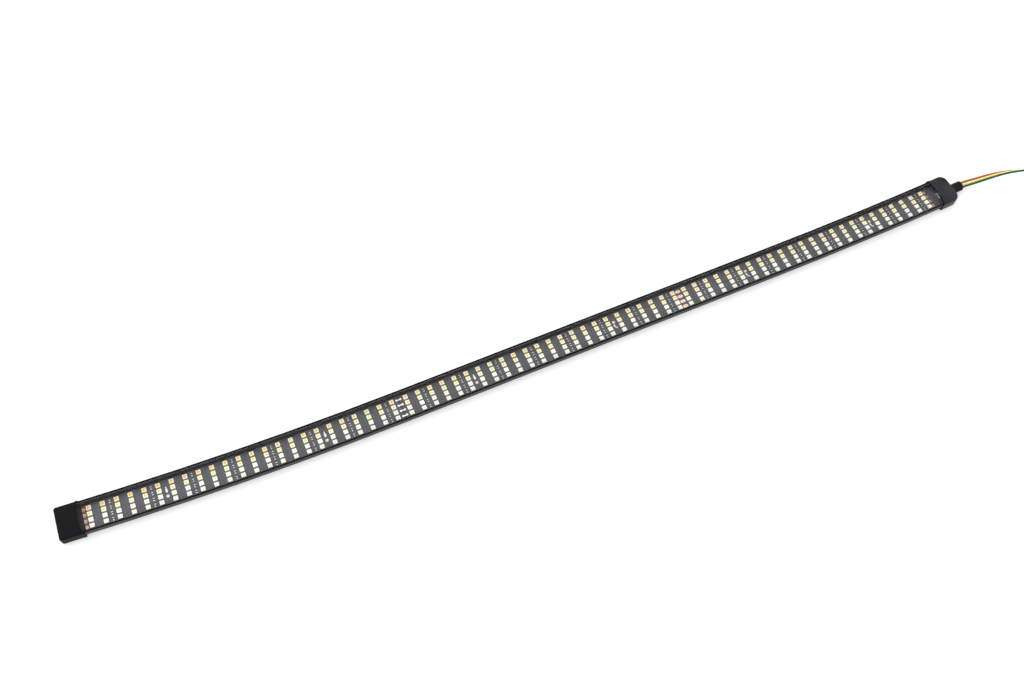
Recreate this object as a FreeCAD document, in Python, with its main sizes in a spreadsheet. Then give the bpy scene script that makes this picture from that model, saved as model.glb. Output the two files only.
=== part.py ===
"""A flexible LED strip light: four rows of LEDs on two joined circuit boards in a black rubber channel.

The strip lies on a surface along X, with +Y its far side and +Z up. It is flexible, so in plan it runs
straight in the middle and its two ends bend gently towards +Y, each along an arc. Every long piece is one
section carried along that line, and every small piece is placed along it by its distance from the middle.
"""
import FreeCAD, Part
import Sketcher
import math
import os

from FreeCAD import Placement, Rotation, Vector

doc = FreeCAD.newDocument("led_strip_light")

# ---------------------------------------------------------------- driving dimensions, in millimetres
SIZES = {
    # the line that the strip follows
    "straight_from": -100.0,
    "straight_to": 170.0,
    "left_bend": 2600.0,
    "right_bend": 3430.0,
    # section of the strip, upwards from the surface
    "liner_top": 0.12,
    "tape_top": 0.9,
    "floor_top": 1.9,
    "board_top": 2.2,
    "ledge_top": 5.3,
    "cover_top": 6.3,
    "rim_top": 7.0,
    "channel_half": 10.1,
    "channel_inside": 8.9,
    "groove_half": 9.3,
    "cover_half": 9.25,
    "board_half": 8.4,
    "tape_half": 8.4,
    "foot_round": 1.6,
    # lights on the boards
    "columns": 72,
    "short_columns": 24,
    "column_pitch": 8.333,
    "row_pitch": 3.84,
    "splice_extra": 1.0,
    "board_gap": 0.3,
    "pad_plate": 0.12,
    "lamp_long": 2.8,
    "lamp_wide": 2.65,
    "lamp_tall": 1.0,
    "lens_radius": 1.06,
    "lens_deep": 0.35,
    "resistor_long": 1.8,
    "resistor_wide": 0.85,
    "resistor_tall": 0.5,
    "resistor_end": 0.4,
    "joint_pad_long": 3.8,
    "joint_pad_wide": 2.3,
    "dot_radius": 0.75,
    # end caps
    "channel_left": -311.2,
    "channel_right": 313.0,
    "cap_left_mouth": -300.9,
    "cap_right_mouth": 303.6,
    "cap_left_long": 14.7,
    "cap_right_long": 14.6,
    "cap_half": 10.8,
    "cap_top": 7.5,
    "surface": 0.0,
    "cap_foot_round": 0.8,
    "cap_round": 1.6,
    "cap_left_end_round": 1.6,
    "cap_right_end_round": 5.2,
    "cap_inside_half": 10.15,
    "cap_floor": 0.8,
    "cap_inside_top": 7.05,
    "cap_pocket": 10.6,
    "scoop_deep": 2.2,
    "scoop_radius": 36.0,
    "lip_long": 1.8,
    "lip_half": 10.95,
    "lip_top": 7.8,
    "board_tail": 310.0,
    "cover_left": -309.0,
    "cover_right": 309.0,
    # the collar that the wires leave by, and the wires
    "collar_radius": 3.5,
    "collar_long": 7.4,
    "collar_sunk": 2.6,
    "collar_height": 3.95,
    "collar_across": -1.0,
    "rib_floor": 3.15,
    "rib_from": 3.6,
    "rib_to": 4.2,
    "rib_over": 4.0,
    "rib_pitch": 1.2,
    "rib_count": 5,
    "slot_half": 2.65,
    "slot_near": -3.65,
    "slot_far": 1.65,
    "slot_bottom": 3.0,
    "slot_top": 4.9,
    "slot_rise": 0.9,
    "wire_diameter": 1.55,
    "wire_spacing": 1.75,
    "conductor": 0.75,
    # the neat coil of the wires' spare length
    "coil_inner": 7.0,
    "coil_outer": 14.4,
    "coil_bottom": 0.7,
    "coil_top": 6.0,
    "coil_lead_in": 10.0,
    "coil_x": 424.0,
    "coil_y": -6.0,
    "coil_entry": 12.6,
    "tie_wide": 2.5,
    "tie_thick": 0.6,
    # solder, and the wires' ends inside the lead cap
    "bridge_lobe_radius": 0.7,
    "bridge_lobe_tall": 0.55,
    "bridge_neck_wide": 0.75,
    "bridge_neck_tall": 0.4,
    "bridge_inset": 0.55,
    "lens_clearance": 0.03,
    "plate_shows": 0.5,
    "tail_start": 4.8,
    "tail_level_to": 6.6,
    "tail_raised_at": 10.4,
    "tail_height": 3.15,
    "bare_long": 2.0,
    "bead_long": 1.7,
    "bead_wide": 1.5,
    "bead_beyond": 0.1,
    "bead_above_wire": 0.5,
    "bead_round": 0.3,
}

sheet = doc.addObject("Spreadsheet::Sheet", "Sizes")
for line, (alias, number) in enumerate(SIZES.items(), start=1):
    sheet.set(f"A{line}", alias)
    sheet.set(f"B{line}", str(number))
    sheet.setAlias(f"B{line}", alias)
doc.recompute()


def size(name):
    """The number in the sheet's cell of this name."""
    return float(sheet.get(name))


def reading(signed_name):
    """The number of a cell name that may have a minus sign before it."""
    sign = -1.0 if signed_name.startswith("-") else 1.0
    return sign * size(signed_name.lstrip("-"))


def bound(signed_name):
    """The expression that binds a property to a cell, with its sign."""
    sign = "-" if signed_name.startswith("-") else ""
    return f"{sign}Sizes.{signed_name.lstrip('-')}"


# ---------------------------------------------------------------- the line that the strip follows
def on_line(distance):
    """Place and heading, in radians, of the line at a distance from its middle: an arc, a straight, an arc."""
    start, end = size("straight_from"), size("straight_to")
    if distance < start:
        turn = (start - distance) / size("left_bend")
        x = start - size("left_bend") * math.sin(turn)
        return x, size("left_bend") * (1 - math.cos(turn)), -turn
    if distance > end:
        turn = (distance - end) / size("right_bend")
        x = end + size("right_bend") * math.sin(turn)
        return x, size("right_bend") * (1 - math.cos(turn)), turn
    return distance, 0.0, 0.0


def placed(distance, across=0.0, height=0.0, half_turn=False):
    """The placement of a small piece: a distance along the line, an offset across it and a height."""
    x, y, heading = on_line(distance)
    place = Vector(x - across * math.sin(heading), y + across * math.cos(heading), height)
    degrees = math.degrees(heading) + (180 if half_turn else 0)
    return Placement(place, Rotation(Vector(0, 0, 1), degrees))


def column_at(column):
    """Distance along the line of a column of LEDs. The two boards meet with a little extra room."""
    middle = (size("columns") - 1) / 2
    side = -0.5 if column < size("short_columns") else 0.5
    return (column - middle) * size("column_pitch") + side * size("splice_extra")


def between_columns(column):
    """Distance along the line of the middle of the gap after a column."""
    return (column_at(column) + column_at(column + 1)) / 2


COLUMNS = range(int(size("columns")))
ROWS = [1.5 * size("row_pitch"), 0.5 * size("row_pitch"), -0.5 * size("row_pitch"), -1.5 * size("row_pitch")]


# ---------------------------------------------------------------- bodies from closed outlines
def plane_of(body, role):
    """One of the body's own origin planes."""
    return next(feature for feature in body.Origin.OriginFeatures if feature.Role == role)


def outline(body, name, sides, offset="", axis_at="", rounds=None, plane="YZ_Plane"):
    """A sketch on one of the body's own planes whose sides are straight, each level or upright.

    sides alternates upright and level: each is the cell name of its place across or its height.
    rounds gives the cell name of a corner's radius, by the number of the side that comes before it.
    axis_at adds an upright axis for a revolution.
    """
    sketch = body.newObject("Sketcher::SketchObject", name)
    sketch.AttachmentSupport = [(plane_of(body, plane), "")]
    sketch.MapMode = "FlatFace"
    if offset:
        sketch.AttachmentOffset = Placement(Vector(0, 0, reading(offset)), Rotation())
        sketch.setExpression("AttachmentOffset.Base.z", bound(offset))
    values = [reading(side) for side in sides]
    count = len(sides)
    corners = []
    for number in range(count):
        here, after = values[number], values[(number + 1) % count]
        corners.append(Vector(here, after, 0) if number % 2 == 0 else Vector(after, here, 0))
    rounds = rounds or {}
    trims = [size(rounds[number]) if number in rounds else 0.0 for number in range(count)]
    lines = []
    for number in range(count):
        first, last = corners[number - 1], corners[number]
        along = (last - first).normalize()
        first = first + along * trims[number - 1]
        last = last - along * trims[number]
        lines.append(sketch.addGeometry(Part.LineSegment(first, last), False))
    for number, line_number in enumerate(lines):
        upright = number % 2 == 0
        sketch.addConstraint(Sketcher.Constraint("Vertical" if upright else "Horizontal", line_number))
        kind = "DistanceX" if upright else "DistanceY"
        index = sketch.addConstraint(Sketcher.Constraint(kind, line_number, 1, values[number]))
        sketch.setExpression(f"Constraints[{index}]", bound(sides[number]))
    for number in range(count):
        following = (number + 1) % count
        if number in rounds:
            add_round(sketch, lines[number], lines[following], corners[number], rounds[number])
        else:
            sketch.addConstraint(Sketcher.Constraint("Coincident", lines[number], 2, lines[following], 1))
    if axis_at:
        away = reading(axis_at)
        axis = sketch.addGeometry(Part.LineSegment(Vector(away, 0, 0), Vector(away, 10, 0)), True)
        sketch.addConstraint(Sketcher.Constraint("Vertical", axis))
        index = sketch.addConstraint(Sketcher.Constraint("DistanceX", axis, 1, away))
        sketch.setExpression(f"Constraints[{index}]", bound(axis_at))
    return sketch


def add_round(sketch, before, after, corner, radius_name):
    """An arc tangent to two square sides, in place of their corner."""
    radius = size(radius_name)
    start = sketch.getPoint(before, 2)
    end = sketch.getPoint(after, 1)
    centre = start + end - corner
    middle = centre + (corner - centre).normalize() * radius
    arc = sketch.addGeometry(Part.Arc(start, middle, end), False)
    starts_first = (sketch.getPoint(arc, 1) - start).Length < (sketch.getPoint(arc, 2) - start).Length
    near, far = (1, 2) if starts_first else (2, 1)
    sketch.addConstraint(Sketcher.Constraint("Tangent", before, 2, arc, near))
    sketch.addConstraint(Sketcher.Constraint("Tangent", after, 1, arc, far))
    index = sketch.addConstraint(Sketcher.Constraint("Radius", arc, radius))
    sketch.setExpression(f"Constraints[{index}]", bound(radius_name))


def along_strip(label, sides, start, end, rounds=None):
    """A body whose section runs along the strip's line from one cell's distance to another's."""
    body = doc.addObject("PartDesign::Body", label)
    has_left = reading(start) < size("straight_from")
    has_right = reading(end) > size("straight_to")
    first = "straight_from" if has_left else start
    last = "straight_to" if has_right else end
    if reading(last) > reading(first):
        pad = body.newObject("PartDesign::Pad", f"{label}_straight")
        pad.Profile = outline(body, f"{label}_section", sides, first, rounds=rounds)
        pad.setExpression("Length", f"{bound(last)} - ({bound(first)})")
    if has_left:
        arc = body.newObject("PartDesign::Revolution", f"{label}_left_bend")
        sketch = outline(body, f"{label}_left_section", sides, "straight_from", "left_bend", rounds)
        arc.Profile = sketch
        arc.ReferenceAxis = (sketch, ["Axis0"])
        arc.Reversed = True
        arc.setExpression("Angle", f"(Sizes.straight_from - ({bound(start)})) / Sizes.left_bend * 180 / pi")
    if has_right:
        arc = body.newObject("PartDesign::Revolution", f"{label}_right_bend")
        sketch = outline(body, f"{label}_right_section", sides, "straight_to", "right_bend", rounds)
        arc.Profile = sketch
        arc.ReferenceAxis = (sketch, ["Axis0"])
        arc.setExpression("Angle", f"({bound(end)} - Sizes.straight_to) / Sizes.right_bend * 180 / pi")
    doc.recompute()
    return body


# ---------------------------------------------------------------- channel, boards, cover and tape
channel_sides = [
    "-channel_half", "tape_top", "channel_half", "rim_top", "groove_half", "ledge_top",
    "channel_inside", "floor_top", "-channel_inside", "ledge_top", "-groove_half", "rim_top",
]
parts = {}
parts["channel_housing"] = along_strip(
    "channel_housing", channel_sides, "channel_left", "channel_right", {0: "foot_round", 1: "foot_round"}
)
parts["clear_cover"] = along_strip(
    "clear_cover", ["-cover_half", "ledge_top", "cover_half", "cover_top"], "cover_left", "cover_right"
)
board_sides = ["-board_half", "floor_top", "board_half", "board_top"]
board_reach = (size("columns") - 1) / 2 * size("column_pitch") + size("splice_extra") / 2
BOARD_END = board_reach + size("column_pitch") / 2
for line, (alias, number) in enumerate(
    [
        ("board_left", -BOARD_END),
        ("splice_before", size("straight_from")),
        ("splice_after", size("straight_from") + size("board_gap")),
    ],
    start=len(SIZES) + 1,
):
    sheet.set(f"A{line}", alias)
    sheet.set(f"B{line}", f"{number:.4f}")
    sheet.setAlias(f"B{line}", alias)
doc.recompute()
parts["circuit_board_short"] = along_strip("circuit_board_short", board_sides, "board_left", "splice_before")
parts["circuit_board_long"] = along_strip("circuit_board_long", board_sides, "splice_after", "board_tail")
parts["adhesive_tape"] = along_strip(
    "adhesive_tape", ["-tape_half", "liner_top", "tape_half", "tape_top"], "cap_left_mouth", "cap_right_mouth"
)
parts["release_liner"] = along_strip(
    "release_liner", ["-tape_half", "surface", "tape_half", "liner_top"], "cap_left_mouth", "cap_right_mouth"
)


# ---------------------------------------------------------------- end caps
def level_edges(body, height):
    """Names of the edges of a body's tip that lie at one height, apart from the one across its mouth."""
    names = []
    for number, edge in enumerate(body.Shape.Edges, start=1):
        box = edge.BoundBox
        if abs(box.ZMin - height) < 0.01 and abs(box.ZMax - height) < 0.01 and box.XMax > 0.01:
            names.append(f"Edge{number}")
    return names


def scoop_circle(body, name):
    """A large circle above the channel that scoops the top of a cap's mouth back into a shallow arc."""
    sketch = body.newObject("Sketcher::SketchObject", name)
    sketch.AttachmentSupport = [(plane_of(body, "XY_Plane"), "")]
    sketch.MapMode = "FlatFace"
    sketch.setExpression("AttachmentOffset.Base.z", "Sizes.rim_top")
    centre = size("scoop_deep") - size("scoop_radius")
    circle = sketch.addGeometry(Part.Circle(Vector(centre, 0, 0), Vector(0, 0, 1), size("scoop_radius")), False)
    sketch.addConstraint(Sketcher.Constraint("PointOnObject", circle, 3, -1))
    index = sketch.addConstraint(Sketcher.Constraint("DistanceX", circle, 3, centre))
    sketch.setExpression(f"Constraints[{index}]", "Sizes.scoop_deep - Sizes.scoop_radius")
    index = sketch.addConstraint(Sketcher.Constraint("Radius", circle, size("scoop_radius")))
    sketch.setExpression(f"Constraints[{index}]", "Sizes.scoop_radius")
    return sketch


def end_cap(label, long_name, end_round):
    """A sleeve with a raised lip at its mouth and a closed, rounded end. Its mouth faces -X."""
    body = doc.addObject("PartDesign::Body", label)
    sleeve = body.newObject("PartDesign::Pad", f"{label}_sleeve")
    plan_sides = ["surface", "cap_half", long_name, "-cap_half"]
    corners = {1: end_round, 2: end_round}
    sleeve.Profile = outline(body, f"{label}_plan", plan_sides, rounds=corners, plane="XY_Plane")
    sleeve.setExpression("Length", "Sizes.cap_top")
    doc.recompute()
    shoulder = body.newObject("PartDesign::Fillet", f"{label}_shoulder")
    shoulder.Base = (sleeve, level_edges(body, size("cap_top")))
    shoulder.setExpression("Radius", "Sizes.cap_round")
    doc.recompute()
    foot = body.newObject("PartDesign::Fillet", f"{label}_foot")
    foot.Base = (shoulder, level_edges(body, size("surface")))
    foot.setExpression("Radius", "Sizes.cap_foot_round")
    doc.recompute()
    lip = body.newObject("PartDesign::Pad", f"{label}_lip")
    lip_sides = ["-lip_half", "surface", "lip_half", "lip_top"]
    lip_rounds = {0: "cap_foot_round", 1: "cap_foot_round", 2: "cap_round", 3: "cap_round"}
    lip.Profile = outline(body, f"{label}_lip_section", lip_sides, rounds=lip_rounds)
    lip.setExpression("Length", "Sizes.lip_long")
    doc.recompute()
    pocket = body.newObject("PartDesign::Pocket", f"{label}_pocket")
    pocket_sides = ["-cap_inside_half", "cap_floor", "cap_inside_half", "cap_inside_top"]
    pocket.Profile = outline(body, f"{label}_pocket_section", pocket_sides)
    pocket.Reversed = True
    pocket.setExpression("Length", "Sizes.cap_pocket")
    doc.recompute()
    scoop = body.newObject("PartDesign::Pocket", f"{label}_scoop")
    scoop.Profile = scoop_circle(body, f"{label}_scoop_circle")
    scoop.Reversed = True
    scoop.setExpression("Length", "Sizes.lip_top")
    doc.recompute()
    return body


def disc(body, name, radius_name, across_name, height_name, along=None):
    """A sketch of one circle on the body's YZ plane, at a place across, a height and a distance along X."""
    sketch = body.newObject("Sketcher::SketchObject", name)
    sketch.AttachmentSupport = [(plane_of(body, "YZ_Plane"), "")]
    sketch.MapMode = "FlatFace"
    if along:
        sketch.setExpression("AttachmentOffset.Base.z", along)
    centre = Vector(size(across_name), size(height_name), 0)
    circle = sketch.addGeometry(Part.Circle(centre, Vector(0, 0, 1), size(radius_name)), False)
    index = sketch.addConstraint(Sketcher.Constraint("DistanceX", circle, 3, centre.x))
    sketch.setExpression(f"Constraints[{index}]", bound(across_name))
    index = sketch.addConstraint(Sketcher.Constraint("DistanceY", circle, 3, size(height_name)))
    sketch.setExpression(f"Constraints[{index}]", bound(height_name))
    index = sketch.addConstraint(Sketcher.Constraint("Radius", circle, size(radius_name)))
    sketch.setExpression(f"Constraints[{index}]", bound(radius_name))
    return sketch


closed_cap = end_cap("end_cap_closed", "cap_left_long", "cap_left_end_round")
closed_cap.Placement = placed(size("cap_left_mouth"), half_turn=True)
parts["end_cap_closed"] = closed_cap

lead_cap = end_cap("end_cap_lead", "cap_right_long", "cap_right_end_round")
seat = lead_cap.newObject("PartDesign::Pocket", "lead_cap_collar_seat")
seat.Profile = disc(
    lead_cap, "lead_cap_seat_circle", "collar_radius", "collar_across", "collar_height", "Sizes.cap_right_long"
)
seat.setExpression("Length", "Sizes.collar_sunk")
doc.recompute()
way = lead_cap.newObject("PartDesign::Pocket", "lead_cap_wire_slot")
way.Profile = outline(lead_cap, "lead_cap_slot_section", ["slot_near", "slot_bottom", "slot_far", "slot_top"])
way.Reversed = True
way.setExpression("Length", "Sizes.cap_right_long")
doc.recompute()
lead_cap.Placement = placed(size("cap_right_mouth"))
parts["end_cap_lead"] = lead_cap

# ---------------------------------------------------------------- the ribbed collar
collar = doc.addObject("PartDesign::Body", "lead_collar")
barrel = collar.newObject("PartDesign::Pad", "collar_barrel")
barrel.Profile = disc(collar, "collar_circle", "collar_radius", "surface", "surface")
barrel.setExpression("Length", "Sizes.collar_sunk + Sizes.collar_long")
doc.recompute()
rib_sides = ["rib_from", "rib_floor", "rib_to", "rib_over"]
rib_sketch = outline(collar, "rib_section", rib_sides, plane="XY_Plane")
groove = collar.newObject("PartDesign::Groove", "collar_groove")
groove.Profile = rib_sketch
groove.ReferenceAxis = (rib_sketch, ["H_Axis"])
groove.Angle = 360
doc.recompute()
ribs = collar.newObject("PartDesign::LinearPattern", "collar_ribs")
ribs.Originals = [groove]
ribs.Direction = (rib_sketch, ["H_Axis"])
ribs.setExpression("Length", "Sizes.rib_pitch * (Sizes.rib_count - 1)")
ribs.setExpression("Occurrences", "Sizes.rib_count")
collar.Tip = ribs
doc.recompute()
collar_slot = collar.newObject("PartDesign::Pocket", "collar_slot")
collar_slot.Profile = outline(collar, "collar_slot_section", ["-slot_half", "-slot_rise", "slot_half", "slot_rise"])
collar_slot.Reversed = True
collar_slot.Type = "ThroughAll"
doc.recompute()
cap_place = placed(size("cap_right_mouth"))
collar_offset = Vector(size("cap_right_long") - size("collar_sunk"), size("collar_across"), size("collar_height"))
collar.Placement = cap_place.multiply(Placement(collar_offset, Rotation()))
parts["lead_collar"] = collar


# ---------------------------------------------------------------- small pieces, in groups
def block(label, long, wide, tall):
    """A box of sheet sizes, centred across the line, standing on its own zero height."""
    box = doc.addObject("Part::Box", label)
    box.setExpression("Length", long)
    box.setExpression("Width", wide)
    box.setExpression("Height", tall)
    box.setExpression("Placement.Base.x", f"-({long}) / 2")
    box.setExpression("Placement.Base.y", f"-({wide}) / 2")
    return box


def rod(label, radius, tall, base="0"):
    """An upright cylinder of sheet sizes on the line."""
    cylinder = doc.addObject("Part::Cylinder", label)
    cylinder.setExpression("Radius", radius)
    cylinder.setExpression("Height", tall)
    cylinder.setExpression("Placement.Base.z", base)
    return cylinder


def group(label, pattern, places):
    """A sub-part of identical separate solids: one pattern shape at each placement."""
    feature = doc.addObject("Part::Feature", label)
    solids = []
    for place in places:
        solid = pattern.copy()
        solid.Placement = place.multiply(pattern.Placement)
        solids.append(solid)
    feature.Shape = Part.makeCompound(solids)
    parts[label] = feature


lamp_block = block("lamp_block", "Sizes.lamp_long", "Sizes.lamp_wide", "Sizes.lamp_tall")
lens_base = "Sizes.lamp_tall - Sizes.lens_deep"
lamp_hollow = rod("lamp_hollow", "Sizes.lens_radius", "Sizes.lens_deep", lens_base)
lamp_body = doc.addObject("Part::Cut", "lamp_body_pattern")
lamp_body.Base = lamp_block
lamp_body.Tool = lamp_hollow
lens_pattern = rod("lens_pattern", "Sizes.lens_radius", "Sizes.lens_deep - Sizes.lens_clearance", lens_base)
plate_pattern = block(
    "plate_pattern",
    "Sizes.lamp_long - Sizes.plate_shows",
    "Sizes.lamp_wide + Sizes.plate_shows",
    "Sizes.pad_plate",
)
resistor_core = "Sizes.resistor_long - 2 * Sizes.resistor_end"
resistor_pattern = block("resistor_pattern", "Sizes.resistor_wide", resistor_core, "Sizes.resistor_tall")
terminal_pattern = block(
    "terminal_pattern", "Sizes.resistor_wide", "Sizes.resistor_end", "Sizes.resistor_tall"
)
dot_pattern = rod("dot_pattern", "Sizes.dot_radius", "Sizes.pad_plate / 2")
doc.recompute()

lamp_foot = size("board_top") + size("pad_plate")
for row, across in enumerate(ROWS, start=1):
    places = [placed(column_at(column), across, lamp_foot) for column in COLUMNS]
    group(f"led_bodies_row_{row}", lamp_body.Shape, places)
    group(f"led_lenses_row_{row}", lens_pattern.Shape, places)
every_plate = [placed(column_at(column), across, size("board_top")) for column in COLUMNS for across in ROWS]
group("led_solder_plates", plate_pattern.Shape, every_plate)

LAMPS_IN_SERIES = 3
resistor_gaps = [between_columns(column) for column in COLUMNS if column % LAMPS_IN_SERIES == 1]
terminal_out = (size("resistor_long") - size("resistor_end")) / 2
group(
    "resistor_bodies",
    resistor_pattern.Shape,
    [placed(gap, across, size("board_top")) for gap in resistor_gaps for across in ROWS],
)
group(
    "resistor_terminals",
    terminal_pattern.Shape,
    [
        placed(gap, across + side * terminal_out, size("board_top"))
        for gap in resistor_gaps
        for across in ROWS
        for side in (-1, 1)
    ],
)


def oval_pad(long, wide, tall):
    """A flat pad with round ends, lying along the strip."""
    straight = long - wide
    middle = Part.makeBox(straight, wide, tall, Vector(-straight / 2, -wide / 2, 0))
    ends = [Part.makeCylinder(wide / 2, tall, Vector(side * straight / 2, 0, 0)) for side in (-1, 1)]
    return middle.fuse(ends).removeSplitter().Solids[0]


def half_pad(side):
    """Half of an oval pad, cut through square. side says which half is kept."""
    whole = oval_pad(size("joint_pad_long"), size("joint_pad_wide"), size("pad_plate") / 2)
    reach = size("joint_pad_long")
    keep = Part.makeBox(reach, 2 * reach, reach, Vector(0 if side > 0 else -reach, -reach, -reach / 2))
    return whole.common(keep).Solids[0]


def solder_bridge():
    """Solder across the gap between two boards: two round lobes and a narrower neck."""
    apart = size("joint_pad_long") / 2 - size("bridge_inset")
    wide = size("bridge_neck_wide")
    neck = Part.makeBox(2 * apart, wide, size("bridge_neck_tall"), Vector(-apart, -wide / 2, 0))
    radius, tall = size("bridge_lobe_radius"), size("bridge_lobe_tall")
    lobes = [Part.makeCylinder(radius, tall, Vector(side * apart, 0, 0)) for side in (-1, 1)]
    return neck.fuse(lobes).removeSplitter().Solids[0]


whole_pad = oval_pad(size("joint_pad_long"), size("joint_pad_wide"), size("pad_plate") / 2)
UNIT = 12
marks = [between_columns(column) for column in COLUMNS if column % UNIT == UNIT // 2 - 1]
board_face = size("board_top")
splice_at = between_columns(int(size("short_columns")) - 1)
cut_line_at = between_columns(2 * int(size("short_columns")) - 1)
group("splice_solder_bridges", solder_bridge(), [placed(splice_at, y, board_face) for y in ROWS])
group("cut_line_pads", whole_pad, [placed(cut_line_at, y, board_face) for y in ROWS])
group("end_pads_left", half_pad(1), [placed(-BOARD_END, y, board_face) for y in ROWS])
group("end_pads_right", half_pad(-1), [placed(BOARD_END, y, board_face) for y in ROWS])
DOT_NEAR = -0.65
DOT_FAR = 0.5
dot_rows = [DOT_NEAR if number < len(marks) / 2 else DOT_FAR for number in range(len(marks))]
dot_places = [placed(mark, row * size("row_pitch"), board_face) for mark, row in zip(marks, dot_rows)]
group("test_dots", dot_pattern.Shape, dot_places)


# ---------------------------------------------------------------- wires inside the lead end
def route_path(points):
    """A wire of straight runs joined by tangent arcs, each as large as its two runs allow, and its radii."""
    edges, radii = [], []
    start = points[0]
    for before, corner, after in zip(points, points[1:], points[2:]):
        run_in, run_out = corner - before, after - corner
        turn = run_in.getAngle(run_out)
        trim = 0.45 * min(run_in.Length, run_out.Length)
        radius = trim / math.tan(turn / 2)
        inwards, outwards = run_in.normalize(), run_out.normalize()
        arc_start, arc_end = corner - inwards * trim, corner + outwards * trim
        towards_centre = (outwards - inwards).normalize()
        centre = corner + towards_centre * (radius / math.cos(turn / 2))
        middle = centre - towards_centre * radius
        edges.append(Part.LineSegment(start, arc_start).toShape())
        edges.append(Part.Arc(arc_start, middle, arc_end).toShape())
        radii.append(radius)
        start = arc_end
    edges.append(Part.LineSegment(start, points[-1]).toShape())
    return Part.Wire(edges), radii


def tube(label, points, diameter):
    """A round tube along a route."""
    path, radii = route_path(points)
    section = Part.Circle(points[0], points[1] - points[0], diameter / 2).toShape()
    shape = path.makePipeShell([Part.Wire([section])], True, False)
    expected = math.pi * diameter**2 / 4 * path.Length
    if abs(shape.Volume / expected - 1) > 0.01:
        raise ValueError(f"{label}: the tube's volume is {shape.Volume:.2f}, and it should be {expected:.2f}")
    feature = doc.addObject("Part::Feature", label)
    feature.Shape = shape
    parts[label] = feature
    print(f"{label}: {path.Length:.1f} mm long, radii", " ".join(f"{radius:.1f}" for radius in radii))


# each wire's lane, counted across from the middle one
LANES = {"brown": 1, "yellow": 0, "green": -1}
WIRE = size("wire_diameter")
SPACING = size("wire_spacing")
collar_face = size("cap_right_long") + size("collar_long")
wire_height = size("collar_height")
tail_height = size("tail_height")
for colour, lane in LANES.items():
    across = size("collar_across") + lane * SPACING
    tail = [
        Vector(size("tail_start"), across, tail_height),
        Vector(size("tail_level_to"), across, tail_height),
        Vector(size("tail_raised_at"), across, wire_height),
        Vector(collar_face, across, wire_height),
    ]
    tube(f"wire_tail_{colour}", [cap_place.multVec(point) for point in tail], WIRE)


def tail_ends(height):
    """The placements of the three wires' ends over the board, at a height."""
    middle = size("collar_across")
    local = [Vector(size("tail_start"), middle + lane * SPACING, height) for lane in LANES.values()]
    return [cap_place.multiply(Placement(place, Rotation())) for place in local]


bare_long = size("bare_long")
bare = Part.makeCylinder(size("conductor") / 2, bare_long, Vector(-bare_long, 0, 0), Vector(1, 0, 0))
group("lead_conductors", bare, tail_ends(tail_height))

over_board = tail_height - board_face
bead_long, bead_wide = size("bead_long"), size("bead_wide")
bead_corner = Vector(-bead_long - size("bead_beyond"), -bead_wide / 2, 0)
bead = Part.makeBox(bead_long, bead_wide, over_board + size("bead_above_wire"), bead_corner)
above_board = [edge for edge in bead.Edges if edge.BoundBox.ZMax > over_board]
bead = bead.makeFillet(size("bead_round"), above_board)
bead = bead.cut(bare.translated(Vector(0, 0, over_board)))
group("lead_solder_joints", bead, tail_ends(board_face))

# ---------------------------------------------------------------- the three wires and their spare length
# The flat row of wires leaves the collar side by side, arches over and comes down to the surface. On the way
# it twists a quarter turn, so that it lies on edge, green uppermost, and winds into a neat flat coil.
# Each point: the middle wire's place, and the row's twist in degrees.
ROUTE = [
    (325.59, 2.46, 3.95, 0),
    (329.5, 2.6, 3.95, 0),
    (336.6, 1.65, 4.5, 3),
    (346.5, 0.0, 6.5, 13),
    (356.4, -2.7, 9.9, 33),
    (367.0, -6.8, 12.2, 54),
    (377.5, -11.0, 12.6, 66),
    (387.0, -14.8, 11.2, 75),
    (395.0, -17.7, 8.1, 81),
    (401.6, -19.1, 4.9, 87),
    (408.0, -19.5, 3.35, 90),
    (414.0, -19.5, 3.35, 90),
]


def lane_route(lane):
    """The route of one wire: the middle one's, moved across by its lane, level at first and then upright."""
    places = [Vector(x, y, z) for x, y, z, twist in ROUTE]
    points = []
    for number, (place, (x, y, z, twist)) in enumerate(zip(places, ROUTE)):
        before, after = places[max(number - 1, 0)], places[min(number + 1, len(places) - 1)]
        heading = Vector(after.x - before.x, after.y - before.y, 0).normalize()
        level = Vector(-heading.y, heading.x, 0) * math.cos(math.radians(twist))
        upright = Vector(0, 0, -1) * math.sin(math.radians(twist))
        points.append(place + (level + upright) * lane * SPACING)
    return points


for colour, lane in LANES.items():
    tube(f"wire_{colour}", lane_route(lane), WIRE)


# ---------------------------------------------------------------- the coil of spare wire and its tie
def upright_cylinder(label, radius):
    """A cylinder on the coil's axis, as high as the coil."""
    cylinder = rod(label, radius, "Sizes.coil_top - Sizes.coil_bottom", "Sizes.coil_bottom")
    cylinder.setExpression("Placement.Base.x", "Sizes.coil_x")
    cylinder.setExpression("Placement.Base.y", "Sizes.coil_y")
    return cylinder


lead_in = doc.addObject("Part::Box", "coil_lead_in")
lead_in.setExpression("Length", "Sizes.coil_lead_in")
lead_in.setExpression("Width", "Sizes.coil_outer - Sizes.coil_entry")
lead_in.setExpression("Height", "Sizes.coil_top - Sizes.coil_bottom")
lead_in.setExpression("Placement.Base.x", "Sizes.coil_x - Sizes.coil_lead_in")
lead_in.setExpression("Placement.Base.y", "Sizes.coil_y - Sizes.coil_outer")
lead_in.setExpression("Placement.Base.z", "Sizes.coil_bottom")
solid_coil = doc.addObject("Part::Fuse", "coil_without_hole")
solid_coil.Base = upright_cylinder("coil_outside", "Sizes.coil_outer")
solid_coil.Tool = lead_in
coil = doc.addObject("Part::Cut", "wire_coil")
coil.Base = solid_coil
coil.Tool = upright_cylinder("coil_inside", "Sizes.coil_inner")
parts["wire_coil"] = coil

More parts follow.
